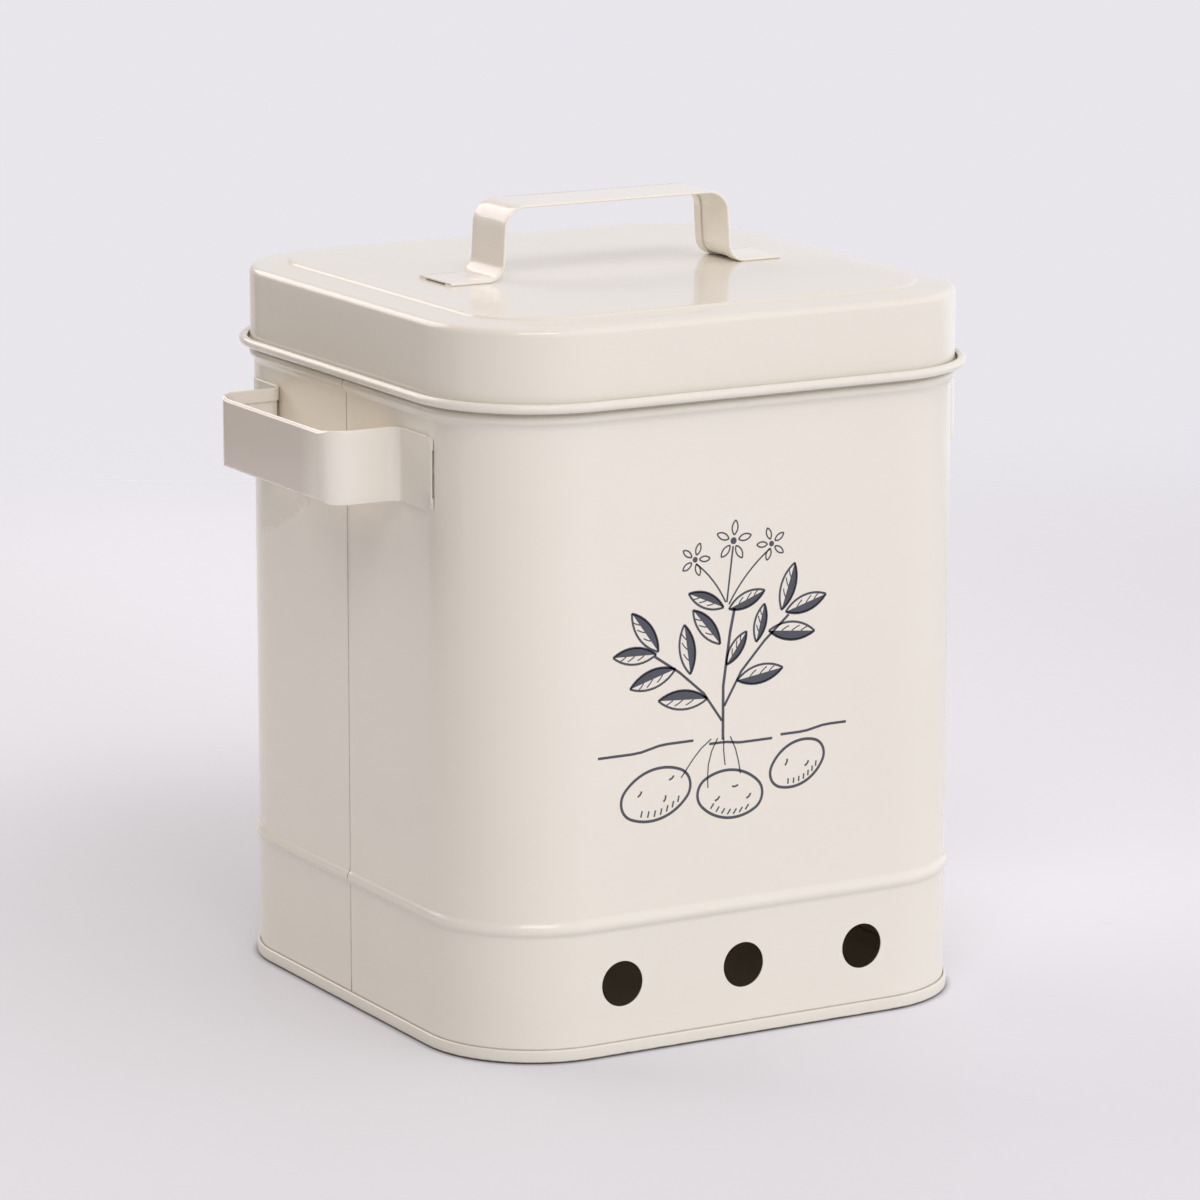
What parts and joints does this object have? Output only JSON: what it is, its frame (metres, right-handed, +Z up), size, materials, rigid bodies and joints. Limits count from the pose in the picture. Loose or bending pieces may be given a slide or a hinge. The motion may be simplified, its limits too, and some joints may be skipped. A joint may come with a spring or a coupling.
{
  "type": "potato storage bin",
  "caption": "Square sheet-steel kitchen bin with rounded corners, side grips, vent holes near the base and a lift-off lid with a strap handle.",
  "frame": {"origin": "centre of the footprint, on the surface that the bin stands on", "axes": "+Z up, -Y out of the front with the vent holes, -X out of the side with the lap seam"},
  "size_m": [0.304, 0.2524, 0.3332],
  "materials": {
    "cream_enamel": "gloss",
    "print_ink": "satin"
  },
  "bodies": {
    "bin": {"body_wall": "cream_enamel", "base_plate": "cream_enamel", "side_handle_left": "cream_enamel", "side_handle_right": "cream_enamel"},
    "lid": {"lid_cover": "cream_enamel", "lid_handle": "cream_enamel"}
  },
  "joints": [
    {"name": "lid_lift", "type": "slide", "parent": "bin", "child": "lid", "axis": [0, 0, 1], "range_m": [0, 0.2]}
  ]
}
